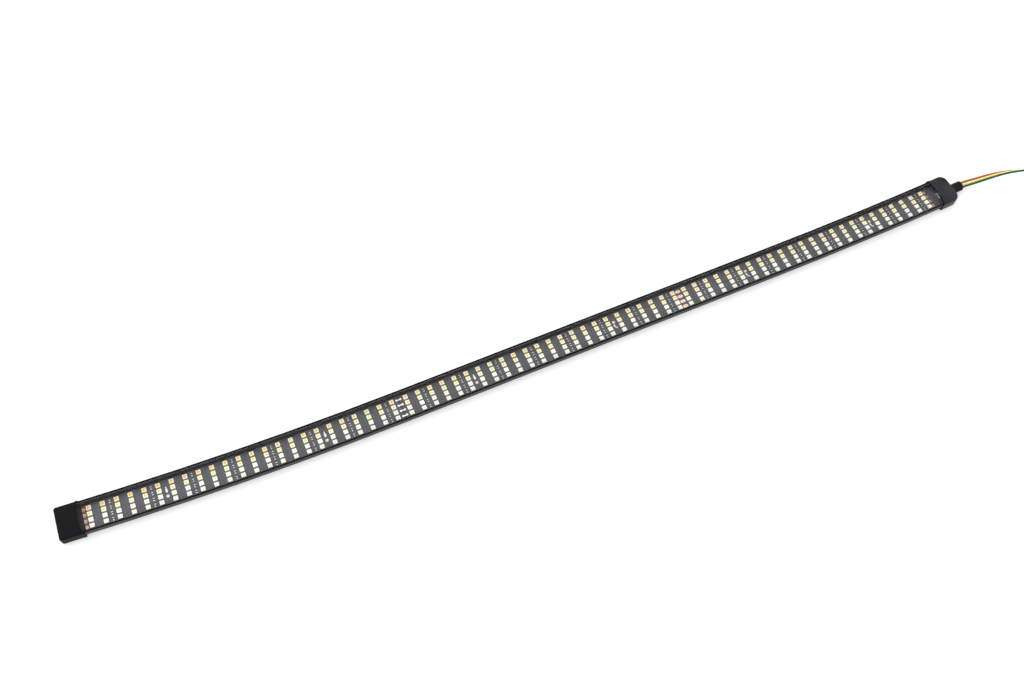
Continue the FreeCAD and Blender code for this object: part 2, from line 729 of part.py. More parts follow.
tie_block = doc.addObject("Part::Box", "tie_block")
tie_block.setExpression("Length", "Sizes.coil_outer - Sizes.coil_inner + 2 * Sizes.tie_thick")
tie_block.setExpression("Width", "Sizes.tie_wide")
tie_block.setExpression("Height", "Sizes.coil_top + Sizes.tie_thick")
tie_block.setExpression("Placement.Base.x", "Sizes.coil_x + Sizes.coil_inner - Sizes.tie_thick")
tie_block.setExpression("Placement.Base.y", "Sizes.coil_y - Sizes.tie_wide / 2")
tie = doc.addObject("Part::Cut", "coil_tie")
tie.Base = tie_block
tie.Tool = coil
parts["coil_tie"] = tie
doc.recompute()

# ---------------------------------------------------------------- check and write every piece
failed = [item.Label for item in doc.Objects if {"Invalid", "Error"} & set(item.State)]
if failed:
    raise ValueError(f"these objects did not compute: {failed}")
os.makedirs("parts", exist_ok=True)
for label, item in parts.items():
    if item.Label != label or item.Shape.isNull() or not item.Shape.isValid():
        raise ValueError(f"{label} has no good shape")
    item.Shape.exportStep(f"parts/{label}.step")
print(len(parts), "nodes,", sum(len(item.Shape.Solids) for item in parts.values()), "solids")
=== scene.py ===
# %% [markdown]
# # A flexible LED strip light in a black rubber channel
# This lesson builds the looks of the strip around its CAD frame. The frame already holds every solid
# piece at its true place, in metres, so the lesson adds only what CAD can't hold: the soft wires with
# their coil, the ink printed on the boards, and the finish of every surface.

# %% Load the frame
import math

import bpy
import numpy as np
from mathutils import Matrix, Vector


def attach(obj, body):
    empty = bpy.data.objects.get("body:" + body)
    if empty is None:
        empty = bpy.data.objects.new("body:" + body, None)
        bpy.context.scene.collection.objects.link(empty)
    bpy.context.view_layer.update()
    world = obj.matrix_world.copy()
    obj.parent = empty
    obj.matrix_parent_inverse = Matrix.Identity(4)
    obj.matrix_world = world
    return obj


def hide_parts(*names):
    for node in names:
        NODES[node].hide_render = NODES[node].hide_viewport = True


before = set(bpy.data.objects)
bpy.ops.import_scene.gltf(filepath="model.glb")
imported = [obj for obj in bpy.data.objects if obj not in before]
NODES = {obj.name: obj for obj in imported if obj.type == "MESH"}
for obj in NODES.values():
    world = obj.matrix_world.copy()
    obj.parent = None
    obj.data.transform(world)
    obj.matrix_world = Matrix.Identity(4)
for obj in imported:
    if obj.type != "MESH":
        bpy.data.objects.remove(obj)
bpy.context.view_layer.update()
MM = 0.001

# %% [markdown]
# ## The camera
# The strip is seen from above and in front, from a little to its left. A camera's own axes are the
# columns of its matrix: X to the right, Y up and Z backwards. They are worked out here from the viewing
# line and one small roll, because a tracking constraint would leave the roll out.

# %% Camera
CAMERA_PLACE = Vector((-190.25, -291.01, 697.97)) * MM
CAMERA_TARGET = Vector((-17.14, 14.79, 3.52)) * MM
CAMERA_ROLL = 0.1
LENS = 42.1875
forward = (CAMERA_TARGET - CAMERA_PLACE).normalized()
level_right = forward.cross(Vector((0, 0, 1))).normalized()
level_up = level_right.cross(forward)
right = level_right * math.cos(CAMERA_ROLL) + level_up * math.sin(CAMERA_ROLL)
up = level_up * math.cos(CAMERA_ROLL) - level_right * math.sin(CAMERA_ROLL)
lens = bpy.data.cameras.new("camera")
lens.lens = LENS
lens.sensor_width = 36
lens.clip_start = 0.01
camera = bpy.data.objects.new("camera", lens)
bpy.context.scene.collection.objects.link(camera)
axes = Matrix((right, up, -forward)).transposed().to_4x4()
camera.matrix_world = Matrix.Translation(CAMERA_PLACE) @ axes
bpy.context.scene.camera = camera
print("camera", round((CAMERA_TARGET - CAMERA_PLACE).length, 3), "m from the strip's middle")

# %% [markdown]
# ## Joining up materials
# Every finish below is a small web of nodes. These helpers keep that web readable: one adds a node and
# feeds its sockets with numbers or with other sockets, one does arithmetic, and one starts a group whose
# named sockets several materials share.

# %% Node helpers
def feed(tree, socket, value):
    """Gives a socket a number, a colour or a link from another socket."""
    if isinstance(value, bpy.types.NodeSocket):
        tree.links.new(value, socket)
    else:
        socket.default_value = value


def add(tree, kind, inputs=None, **settings):
    """A new node with its settings, and its inputs fed by name or number."""
    node = tree.nodes.new(kind)
    for name, value in settings.items():
        setattr(node, name, value)
    for name, value in (inputs or {}).items():
        feed(tree, node.inputs[name], value)
    return node


def sums(tree, operation, *values):
    """One step of arithmetic, and its result."""
    node = tree.nodes.new("ShaderNodeMath")
    node.operation = operation
    for socket, value in zip(node.inputs, values):
        feed(tree, socket, value)
    return node.outputs[0]


def between(tree, value, low, high):
    """A smooth step: 0 where value is under low and 1 where it is over high."""
    inputs = {"Value": value, "From Min": low, "From Max": high}
    return add(tree, "ShaderNodeMapRange", inputs, interpolation_type="SMOOTHSTEP").outputs["Result"]


def mixed(tree, factor, first, second):
    """A colour between two colours."""
    inputs = {0: factor, 6: first, 7: second}
    return add(tree, "ShaderNodeMix", inputs, data_type="RGBA").outputs[2]


def noise(tree, scale, detail=3.0, place=None):
    """Soft noise over the piece, with a grain of 1 / scale metres."""
    if place is None:
        place = add(tree, "ShaderNodeTexCoord").outputs["Object"]
    inputs = {"Vector": place, "Scale": scale, "Detail": detail}
    return add(tree, "ShaderNodeTexNoise", inputs).outputs["Fac"]


def new_group(name, inputs, outputs):
    """An empty node group with named sockets, and its input and output nodes."""
    group = bpy.data.node_groups.new(name, "ShaderNodeTree")
    for label, start in inputs.items():
        socket = group.interface.new_socket(label, in_out="INPUT", socket_type="NodeSocketFloat")
        socket.default_value = start
    for label in outputs:
        group.interface.new_socket(label, in_out="OUTPUT", socket_type="NodeSocketFloat")
    return group, group.nodes.new("NodeGroupInput"), group.nodes.new("NodeGroupOutput")


def use(tree, group, **inputs):
    """A copy of a group in a material, with its own values."""
    node = tree.nodes.new("ShaderNodeGroup")
    node.node_tree = group
    for name, value in inputs.items():
        feed(tree, node.inputs[name.capitalize()], value)
    return node.outputs


def material(name, **plain):
    """A new material, its tree and its shader, with the shader's plain values set."""
    made = bpy.data.materials.new(name)
    made.use_nodes = True
    shader = made.node_tree.nodes["Principled BSDF"]
    for socket, value in plain.items():
        shader.inputs[socket.replace("_", " ")].default_value = value
    return made, made.node_tree, shader


def bump(tree, shader, height, distance, strength=1.0):
    """Tilts the shader's surface by a height map whose full height is the distance, in metres."""
    inputs = {"Height": height, "Distance": distance, "Strength": strength}
    feed(tree, shader.inputs["Normal"], add(tree, "ShaderNodeBump", inputs).outputs["Normal"])


def dress(made, *names):
    """Gives CAD nodes or new pieces their material."""
    for name in names:
        piece = NODES.get(name) or bpy.data.objects[name]
        piece.data.materials.clear()
        piece.data.materials.append(made)


# %% [markdown]
# ## Where on the strip a point lies
# The strip bends gently at its two ends, so a pattern on plain X and Y would drift off the rows of LEDs.
# This group straightens the strip out: it takes off the rise of each end's arc, which is the distance
# into the bend squared over twice its radius. Printed tracks, pads and LEDs can then share one grid.

# %% Strip coordinates
STRAIGHT_FROM = -100 * MM
STRAIGHT_TO = 170 * MM
LEFT_BEND = 2600 * MM
RIGHT_BEND = 3430 * MM
COLUMN_PITCH = 8.333 * MM
ROW_PITCH = 3.84 * MM
SPLICE_EXTRA = 1.0 * MM
COLUMNS = 72
ROWS = 4


def make_strip_coordinates():
    """Along and across the strip, in metres, as if it lay straight."""
    group, _, out = new_group("strip coordinates", {}, ["Along", "Across", "Height"])
    place = add(group, "ShaderNodeTexCoord").outputs["Object"]
    x, y, z = add(group, "ShaderNodeSeparateXYZ", {"Vector": place}).outputs
    into_left = sums(group, "MAXIMUM", sums(group, "SUBTRACT", STRAIGHT_FROM, x), 0.0)
    into_right = sums(group, "MAXIMUM", sums(group, "SUBTRACT", x, STRAIGHT_TO), 0.0)
    left_rise = sums(group, "DIVIDE", sums(group, "POWER", into_left, 2.0), 2 * LEFT_BEND)
    right_rise = sums(group, "DIVIDE", sums(group, "POWER", into_right, 2.0), 2 * RIGHT_BEND)
    across = sums(group, "SUBTRACT", sums(group, "SUBTRACT", y, left_rise), right_rise)
    feed(group, out.inputs["Along"], x)
    feed(group, out.inputs["Across"], across)
    feed(group, out.inputs["Height"], z)
    return group


def make_lamp_grid():
    """The nearest LED's cell: the place in it, the distance from its centre and a random number."""
    outputs = ["Along", "Across", "Radius", "Random"]
    group, _, out = new_group("lamp grid", {}, outputs)
    strip = use(group, STRIP)
    second_board = sums(group, "GREATER_THAN", strip["Along"], STRAIGHT_FROM)
    shift = sums(group, "MULTIPLY_ADD", second_board, SPLICE_EXTRA, -SPLICE_EXTRA / 2)
    shifted = sums(group, "SUBTRACT", strip["Along"], shift)
    column = sums(group, "MULTIPLY_ADD", shifted, 1 / COLUMN_PITCH, (COLUMNS - 1) / 2)
    row = sums(group, "MULTIPLY_ADD", strip["Across"], 1 / ROW_PITCH, (ROWS - 1) / 2)
    nearest_column = sums(group, "ROUND", column)
    nearest_row = sums(group, "ROUND", row)
    along = sums(group, "MULTIPLY", sums(group, "SUBTRACT", column, nearest_column), COLUMN_PITCH)
    across = sums(group, "MULTIPLY", sums(group, "SUBTRACT", row, nearest_row), ROW_PITCH)
    squares = sums(group, "ADD", sums(group, "POWER", along, 2.0), sums(group, "POWER", across, 2.0))
    cell = add(group, "ShaderNodeCombineXYZ", {"X": nearest_column, "Y": nearest_row})
    chance = add(group, "ShaderNodeTexWhiteNoise", {"Vector": cell.outputs[0]}, noise_dimensions="2D")
    feed(group, out.inputs["Along"], along)
    feed(group, out.inputs["Across"], across)
    feed(group, out.inputs["Radius"], sums(group, "SQRT", squares))
    feed(group, out.inputs["Random"], chance.outputs["Value"])
    return group


STRIP = make_strip_coordinates()
LAMPS = make_lamp_grid()
print("grid:", COLUMNS, "columns,", ROWS, "rows")

# %% [markdown]
# ## The three wires
# The lead is three thin wires side by side. They leave the ribbed collar as a flat row, rise in a low
# arch, turn on edge and wind into a flat coil that a small tie holds. A wire could be a mesh tube, but a
# NURBS curve with a round bevel keeps one smooth centreline of a known length, and its points can repeat
# the CAD route exactly. The coil's turns are points on a slowly closing spiral of the same curve.

# %% Wire routes
WIRE = 1.55 * MM
SPACING = 1.75 * MM
POINT_RADIUS = 0.001
LANES = {"brown": 1, "yellow": 0, "green": -1}
ROUTE = [
    (325.59, 2.46, 3.95, 0),
    (329.5, 2.6, 3.95, 0),
    (336.6, 1.65, 4.5, 3),
    (346.5, 0.0, 6.5, 13),
    (356.4, -2.7, 9.9, 33),
    (367.0, -6.8, 12.2, 54),
    (377.5, -11.0, 12.6, 66),
    (387.0, -14.8, 11.2, 75),
    (395.0, -17.7, 8.1, 81),
    (401.6, -19.1, 4.9, 87),
    (408.0, -19.5, 3.35, 90),
    (414.0, -19.5, 3.35, 90),
]
COIL_X = 424.0 * MM
COIL_Y = -6.0 * MM
COIL_TURNS = 3
COIL_START = 13.5 * MM
COIL_STEP = 1.87 * MM
POINTS_PER_TURN = 20


def lane_route(lane):
    """One wire's route: the middle one's, moved across by its lane, level at first and then upright."""
    table = np.array(ROUTE)
    places = table[:, :3] * MM
    turn = np.radians(table[:, 3])[:, None]
    before = np.vstack([places[:1], places[:-1]])
    after = np.vstack([places[1:], places[-1:]])
    heading = (after - before)[:, :2]
    heading /= np.linalg.norm(heading, axis=1)[:, None]
    level = np.column_stack([-heading[:, 1], heading[:, 0], np.zeros(len(table))])
    upright = np.array([[0.0, 0.0, -1.0]])
    return places + (level * np.cos(turn) + upright * np.sin(turn)) * lane * SPACING


def coil_route(height):
    """A flat spiral, wound anticlockwise: its radius falls by one step in each turn."""
    turns = np.arange(0, COIL_TURNS * POINTS_PER_TURN + 1) / POINTS_PER_TURN
    angle = 2 * math.pi * turns - math.pi / 2
    radius = COIL_START - COIL_STEP * turns
    x = COIL_X + radius * np.cos(angle)
    y = COIL_Y + radius * np.sin(angle)
    return np.column_stack([x, y, np.full(len(turns), height)])


def wire_curve(name, points):
    """A round wire whose centreline has these control points.

    A curve's box counts each point's radius as if it were metres, so the points take a tiny radius
    and the bevel, which is multiplied by it, makes up for that.
    """
    curve = bpy.data.curves.new(name, "CURVE")
    curve.dimensions = "3D"
    curve.bevel_depth = WIRE / 2 / POINT_RADIUS
    curve.bevel_resolution = 3
    curve.resolution_u = 6
    curve.use_fill_caps = True
    spline = curve.splines.new("NURBS")
    spline.points.add(len(points) - 1)
    weighted = np.column_stack([points, np.ones(len(points))])
    spline.points.foreach_set("co", weighted.astype(np.float32).ravel())
    spline.points.foreach_set("radius", [POINT_RADIUS] * len(points))
    spline.order_u = 3
    spline.use_endpoint_u = True
    wire = bpy.data.objects.new(name, curve)
    bpy.context.scene.collection.objects.link(wire)
    return wire


# %% [markdown]
# ## The stripped ends of the wires
# Each wire ends in a few millimetres of bare, tinned copper strands twisted together. The bundle is a
# tube whose section is a rosette: its radius rises and falls a few times around, and the rosette turns
# as it goes along, which gives the twist.

# %% Tinned ends
TIP_LONG = 3.5 * MM
TIP_INSIDE = 0.5 * MM
TIP_RADIUS = 0.36 * MM
STRANDS = 7
STRAND_RISE = 0.12
TWIST = 1.6
TIP_CUT_FROM = 0.97
TIP_CUT = 0.8


def surface(name, grid):
    """A mesh over a grid of points whose rows are rings, closed round and at both ends."""
    rings, around = grid.shape[:2]
    ring, step = np.meshgrid(np.arange(rings - 1), np.arange(around), indexing="ij")
    here = ring * around + step
    beside = ring * around + (step + 1) % around
    faces = np.stack([here, beside, beside + around, here + around], axis=-1).reshape(-1, 4).tolist()
    faces.append(list(range(around))[::-1])
    faces.append(list(range((rings - 1) * around, rings * around)))
    mesh = bpy.data.meshes.new(name)
    mesh.from_pydata(grid.reshape(-1, 3).tolist(), [], faces)
    mesh.update()
    piece = bpy.data.objects.new(name, mesh)
    bpy.context.scene.collection.objects.link(piece)
    return piece


def strand_bundle(name, start):
    """A tube along X: radius = mean * (1 + rise * cos(strands * (angle - twist)))."""
    along = np.linspace(-TIP_INSIDE, TIP_LONG, 13)
    angle = np.linspace(0, 2 * math.pi, 28, endpoint=False)
    far, round_ = np.meshgrid(along, angle, indexing="ij")
    twist = far / TIP_LONG * TWIST
    radius = TIP_RADIUS * (1 + STRAND_RISE * np.cos(STRANDS * (round_ - twist)))
    radius *= np.where(far > TIP_CUT_FROM * TIP_LONG, TIP_CUT, 1.0)
    x = start[0] + far
    y = start[1] + radius * np.cos(round_)
    z = start[2] + radius * np.sin(round_)
    return surface(name, np.stack([x, y, z], -1))


wires = {}
tips = {}
for colour, lane in LANES.items():
    route = lane_route(lane)
    spiral = coil_route(route[-1][2])
    points = np.vstack([route, spiral])
    wires[colour] = wire_curve(f"lead_wire_{colour}", points)
    tips[colour] = strand_bundle(f"wire_tip_{colour}", spiral[-1])
    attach(wires[colour], "root")
    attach(tips[colour], "root")
    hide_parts(f"wire_{colour}")
    length = np.linalg.norm(np.diff(points, axis=0), axis=1).sum()
    print(f"{colour} wire: {length:.3f} m along its control points")
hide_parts("wire_coil")

# %% [markdown]
# ## Black rubber
# The channel, the caps and the collar are soft black rubber. Rubber is never one flat black: it has a
# fine moulded grain that spreads the light, and a breath of pale dust. Both are shared by all four
# kinds, so they are one group with its own grain size for each. The channel's rims are painted a
# deeper black, as painted shade.

# %% Rubber grain
def make_rubber_grain():
    """Fine pebbled height, and patches of dust, from noise at three sizes."""
    group, given, out = new_group("rubber grain", {"Grain": 1500.0, "Dust": 40.0}, ["Height", "Patches"])
    place = add(group, "ShaderNodeTexCoord").outputs["Object"]
    fine = noise(group, given.outputs["Grain"], 2.0, place)
    pebbles = add(
        group, "ShaderNodeTexVoronoi", {"Vector": place, "Scale": given.outputs["Grain"]}, feature="F1"
    )
    height = sums(group, "MULTIPLY_ADD", pebbles.outputs["Distance"], 0.5, fine)
    broad = noise(group, given.outputs["Dust"], 4.0, place)
    feed(group, out.inputs["Height"], height)
    feed(group, out.inputs["Patches"], between(group, broad, 0.42, 0.68))
    return group


GRAIN = make_rubber_grain()


def rubber(name, colour, dust_colour, roughness, grain, depth, gloss=0.18, top=None):
    """Black rubber of one kind. Its last millimetre below the height given as top is a deeper black,
    which is painted shade.
    """
    made, tree, shader = material(name, Specular_IOR_Level=gloss)
    looks = use(tree, GRAIN, grain=grain)
    shade = mixed(tree, looks["Patches"], colour, dust_colour)
    # The band just below the channel's top is mixed towards a near-black: painted shade for the dark
    # line along the rims.
    if top is not None:
        height = use(tree, STRIP)["Height"]
        rim = between(tree, height, top - RIM_SHADE_DEPTH, top - RIM_SHADE_DEPTH + RIM_SHADE_FADE)
        shade = mixed(tree, rim, shade, RIM_PAINTED_SHADE)
    feed(tree, shader.inputs["Base Color"], shade)
    rough = sums(tree, "MULTIPLY_ADD", looks["Patches"], 0.1, roughness)
    feed(tree, shader.inputs["Roughness"], rough)
    bump(tree, shader, looks["Height"], depth)
    return made


RIM_TOP = 7.0 * MM
# The band below the rim's top and its near-black colour are painted shade.
RIM_SHADE_DEPTH = 1.1 * MM
RIM_SHADE_FADE = 0.3 * MM
RIM_PAINTED_SHADE = (0.0015, 0.0015, 0.0018, 1)
BLACK = (0.006, 0.006, 0.007, 1)
channel_rubber = rubber(
    "channel rubber", (0.054, 0.054, 0.056, 1), (0.064, 0.064, 0.066, 1),
    0.6, 2200.0, 0.008 * MM, 0.1, RIM_TOP,
)
cap_rubber = rubber("cap rubber", BLACK, (0.012, 0.012, 0.013, 1), 0.42, 1600.0, 0.03 * MM, 0.05)
lead_cap_rubber = rubber(
    "lead cap rubber", (0.009, 0.0095, 0.011, 1), (0.030, 0.031, 0.035, 1),
    0.34, 1600.0, 0.02 * MM, 0.16,
)
collar_rubber = rubber("collar rubber", BLACK, (0.011, 0.011, 0.011, 1), 0.5, 2600.0, 0.03 * MM)
dress(channel_rubber, "channel_housing")
dress(cap_rubber, "end_cap_closed")
dress(lead_cap_rubber, "end_cap_lead")
dress(collar_rubber, "lead_collar")

# %% [markdown]
# ## The clear cover
# A clear plastic strip closes the channel. Real glass shading would send every light ray through two
# refracting faces and leave the boards dark and noisy, so the cover is mostly see-through instead, with
# a faint haze, a milky part that grows towards a glancing view as a painted reflection, and whiter
# cut edges as a painted highlight.

# %% Clear cover
def clear_plastic():
    """See-through plastic with a faint haze, a painted reflection growing towards a glancing view, and a
    painted highlight along its edges.
    """
    made, tree, shader = material("clear cover", Roughness=0.3, Specular_IOR_Level=0.6)
    strip = use(tree, STRIP)
    from_middle = sums(tree, "ABSOLUTE", strip["Across"])
    painted_edge_highlight = between(tree, from_middle, 8.7 * MM, 9.1 * MM)
    painted_glancing_reflection = add(tree, "ShaderNodeFresnel", {"IOR": 1.45}).outputs[0]
    haze = noise(tree, 60.0, 3.0)
    alpha = sums(tree, "MULTIPLY_ADD", haze, 0.003, 0.001)
    # More milkiness along the two cut edges: a painted highlight.
    alpha = sums(tree, "MULTIPLY_ADD", painted_edge_highlight, 0.003, alpha)
    # The milky part grows towards a glancing view: a painted reflection.
    alpha = sums(tree, "MULTIPLY_ADD", between(tree, painted_glancing_reflection, 0.08, 0.7), 0.25, alpha)
    feed(tree, shader.inputs["Alpha"], alpha)
    # The whiter tint at the edges is a painted highlight.
    tint = mixed(tree, painted_edge_highlight, (0.40, 0.43, 0.48, 1), (0.60, 0.62, 0.66, 1))
    feed(tree, shader.inputs["Base Color"], tint)
    return made


dress(clear_plastic(), "clear_cover")

# %% [markdown]
# ## The circuit boards
# The boards are copper film under a dark lacquer. Where copper runs, the lacquer stands a hair higher
# and shines a little more, so a mask of tracks drives both the colour and the bump: a patch under each
# LED's row, cut between the columns, and a supply line along each long edge.

# %% Board lacquer
PATCH_HALF_WIDE = 1.55 * MM
PATCH_HALF_LONG = 3.75 * MM
SUPPLY_FROM = 7.35 * MM
SUPPLY_TO = 8.15 * MM
TRACK_EDGE = 0.1 * MM
PATCH_EDGE = 0.15 * MM


def lacquer():
    """Dark blue-grey lacquer over copper tracks."""
    made, tree, shader = material("board lacquer", Specular_IOR_Level=0.35)
    lamps = use(tree, LAMPS)
    strip = use(tree, STRIP)
    from_row = sums(tree, "ABSOLUTE", lamps["Across"])
    from_column = sums(tree, "ABSOLUTE", lamps["Along"])
    in_row = between(tree, from_row, PATCH_HALF_WIDE, PATCH_HALF_WIDE - PATCH_EDGE)
    in_column = between(tree, from_column, PATCH_HALF_LONG, PATCH_HALF_LONG - PATCH_EDGE)
    from_middle = sums(tree, "ABSOLUTE", strip["Across"])
    supply = sums(
        tree,
        "MULTIPLY",
        between(tree, from_middle, SUPPLY_FROM, SUPPLY_FROM + TRACK_EDGE),
        between(tree, from_middle, SUPPLY_TO, SUPPLY_TO - TRACK_EDGE),
    )
    tracks = sums(tree, "MAXIMUM", sums(tree, "MULTIPLY", in_row, in_column), supply)
    speckle = noise(tree, 2600.0, 2.0)
    plain = mixed(tree, speckle, (0.084, 0.088, 0.096, 1), (0.092, 0.096, 0.104, 1))
    over_track = (0.104, 0.107, 0.117, 1)
    colour = mixed(tree, sums(tree, "MULTIPLY", tracks, 0.45), plain, over_track)
    feed(tree, shader.inputs["Base Color"], colour)
    feed(tree, shader.inputs["Roughness"], sums(tree, "MULTIPLY_ADD", tracks, -0.08, 0.5))
    height = sums(tree, "MULTIPLY_ADD", speckle, 0.25, tracks)
    bump(tree, shader, height, 0.012 * MM)
    return made


dress(lacquer(), "circuit_board_long", "circuit_board_short")

# %% [markdown]
# ## The LEDs
# Each LED is a pale moulded housing with a round well of phosphor. Unlit, the far row's phosphor looks
# orange, the next one's yellow, and the two near rows' nearly white. One function makes the housing and
# one the phosphor, and each row gives them its own colours. The lamp grid finds the well's centre, so
# that the phosphor deepens towards its middle and stains the rim around it. The far row is warmer still
# towards the strip's left end.

# %% LED housings and phosphor
LENS_RADIUS = 1.06 * MM
GLOW_DEEP = 0.3 * MM
ROW_COLOURS = {
    1: {"body": (1.0, 0.92, 0.74, 1), "stain": (1.0, 0.84, 0.56, 1), "rim": (0.99, 0.76, 0.38, 1),
        "middle": (0.90, 0.46, 0.03, 1)},
    2: {"body": (1.0, 0.95, 0.76, 1), "stain": (1.0, 0.92, 0.60, 1), "rim": (0.99, 0.86, 0.36, 1),
        "middle": (0.88, 0.62, 0.03, 1)},
    3: {"body": (1.0, 0.985, 0.92, 1), "stain": (1.0, 0.98, 0.88, 1), "rim": (0.99, 0.96, 0.81, 1),
        "middle": (0.94, 0.91, 0.68, 1)},
    4: {"body": (1.0, 0.975, 0.90, 1), "stain": (1.0, 0.96, 0.83, 1), "rim": (0.98, 0.93, 0.74, 1),
        "middle": (0.93, 0.87, 0.58, 1)},
}
ORANGE = (0.96, 0.27, 0.008, 1)
PALE_ORANGE = (1.0, 0.52, 0.11, 1)
WARM_FROM = -180 * MM
WARM_TO = -300 * MM


def housing(row):
    """Pale moulded plastic, stained by the phosphor near the well."""
    colours = ROW_COLOURS[row]
    made, tree, shader = material(
        f"LED housing row {row}", Subsurface_Weight=0.15, Subsurface_Scale=GLOW_DEEP
    )
    lamps = use(tree, LAMPS)
    near = between(tree, lamps["Radius"], LENS_RADIUS * 1.35, LENS_RADIUS)
    shade = sums(tree, "MULTIPLY_ADD", lamps["Random"], 0.35, 0.5)
    stained = mixed(tree, sums(tree, "MULTIPLY", near, shade), colours["body"], colours["stain"])
    feed(tree, shader.inputs["Base Color"], stained)
    feed(tree, shader.inputs["Roughness"], sums(tree, "MULTIPLY_ADD", noise(tree, 3000.0), 0.15, 0.32))
    bump(tree, shader, noise(tree, 5000.0), 0.01 * MM)
    return made


def phosphor(row):
    """Silicone full of phosphor: deep in the middle, over the chip, and paler at the well's rim."""
    colours = ROW_COLOURS[row]
    made, tree, shader = material(
        f"phosphor row {row}", Subsurface_Weight=0.2, Subsurface_Scale=GLOW_DEEP
    )
    lamps = use(tree, LAMPS)
    outwards = between(tree, lamps["Radius"], 0.2 * MM, 0.85 * MM)
    uneven = sums(tree, "MULTIPLY_ADD", lamps["Random"], 0.25, outwards)
    grains = sums(tree, "MULTIPLY_ADD", noise(tree, 6000.0, 2.0), 0.2, uneven)
    share = sums(tree, "SUBTRACT", grains, 0.2)
    middle, rim = colours["middle"], colours["rim"]
    if row == 1:
        warm_end = between(tree, use(tree, STRIP)["Along"], WARM_FROM, WARM_TO)
        middle = mixed(tree, warm_end, middle, ORANGE)
        rim = mixed(tree, warm_end, rim, PALE_ORANGE)
    feed(tree, shader.inputs["Base Color"], mixed(tree, share, middle, rim))
    feed(tree, shader.inputs["Roughness"], sums(tree, "MULTIPLY_ADD", lamps["Random"], 0.1, 0.2))
    bump(tree, shader, noise(tree, 2500.0), 0.015 * MM)
    return made


for row in range(1, ROWS + 1):
    dress(housing(row), f"led_bodies_row_{row}")
    dress(phosphor(row), f"led_lenses_row_{row}")
print("LED rows dressed:", ROWS)

# %% [markdown]
# ## Solder and copper
# Solder is bright tin that froze with small ripples. Copper pads are a duller pink with a breath of
# tarnish. Both are metals, and what tells them apart is colour, gloss and how patchy they are.

# %% Metals
def metal(name, bright, dull, roughness, patch_size, ripple):
    """A metal whose brightness and gloss vary in patches."""
    made, tree, shader = material(name, Metallic=1.0)
    patches = noise(tree, patch_size, 3.0)
    shade = mixed(tree, between(tree, patches, 0.35, 0.7), bright, dull)
    feed(tree, shader.inputs["Base Color"], shade)
    feed(tree, shader.inputs["Roughness"], sums(tree, "MULTIPLY_ADD", patches, 0.25, roughness))
    bump(tree, shader, noise(tree, patch_size * 1.5, 2.0), ripple)
    return made


solder = metal(
    "solder", (0.95, 0.95, 0.94, 1), (0.72, 0.72, 0.73, 1), 0.3, 700.0, 0.06 * MM
)
bright_tin = metal(
    "bright tin", (0.97, 0.97, 0.97, 1), (0.75, 0.75, 0.77, 1), 0.35, 1500.0, 0.02 * MM
)
# The plates between the LEDs take a much darker tin than the terminals, so the gaps between the LEDs of
# a column look dark.
dark_tin = metal(
    "dark tin", (0.38, 0.38, 0.38, 1), (0.20, 0.20, 0.21, 1), 0.35, 1500.0, 0.02 * MM
)
pale_copper = metal(
    "pale copper", (0.95, 0.72, 0.63, 1), (0.80, 0.54, 0.45, 1), 0.4, 700.0, 0.02 * MM
)
dark_copper = metal(
    "tarnished copper", (0.74, 0.42, 0.34, 1), (0.50, 0.26, 0.20, 1), 0.45, 700.0, 0.02 * MM
)
strand_tin = metal(
    "tinned strands", (0.70, 0.69, 0.66, 1), (0.50, 0.46, 0.42, 1), 0.25, 2500.0, 0.02 * MM
)
dress(solder, "splice_solder_bridges", "lead_solder_joints")
dress(dark_tin, "led_solder_plates")
dress(bright_tin, "resistor_terminals")
dress(pale_copper, "cut_line_pads", "test_dots")
dress(dark_copper, "end_pads_left", "end_pads_right")
dress(strand_tin, "lead_conductors", *[tips[colour].name for colour in LANES])


# %% Resistors
def resistor_ceramic():
    """Black glaze on a small ceramic block, its tone and gloss varying in fine grains."""
    made, tree, shader = material("resistor glaze", Specular_IOR_Level=0.6)
    grains = noise(tree, 2500.0, 3.0)
    shade = mixed(tree, grains, (0.010, 0.010, 0.012, 1), (0.035, 0.034, 0.036, 1))
    feed(tree, shader.inputs["Base Color"], shade)
    feed(tree, shader.inputs["Roughness"], sums(tree, "MULTIPLY_ADD", grains, 0.2, 0.25))
    bump(tree, shader, grains, 0.02 * MM)
    return made


dress(resistor_ceramic(), "resistor_bodies")

# %% [markdown]
# ## Tape and its paper
# Under the channel runs a strip of grey foam tape, whose cut sides show tiny bubbles, with a waxed paper
# liner below it that is peeled off before the strip is stuck down.

# %% Foam tape and liner
def foam():
    """Grey foam with bubbles: a Voronoi pattern whose cell middles are hollows, darkened there with
    painted shade.
    """
    made, tree, shader = material("foam tape", Roughness=0.9)
    place = add(tree, "ShaderNodeTexCoord").outputs["Object"]
    bubbles = add(tree, "ShaderNodeTexVoronoi", {"Vector": place, "Scale": 3500.0}).outputs["Distance"]
    hollows_and_shade = between(tree, bubbles, 0.15, 0.5)
    # The bubble hollows are darker in colour: painted shade inside them, while the bump gives their real
    # depth.
    shade = mixed(tree, hollows_and_shade, (0.10, 0.10, 0.105, 1), (0.22, 0.22, 0.23, 1))
    feed(tree, shader.inputs["Base Color"], shade)
    bump(tree, shader, hollows_and_shade, 0.05 * MM)
    return made


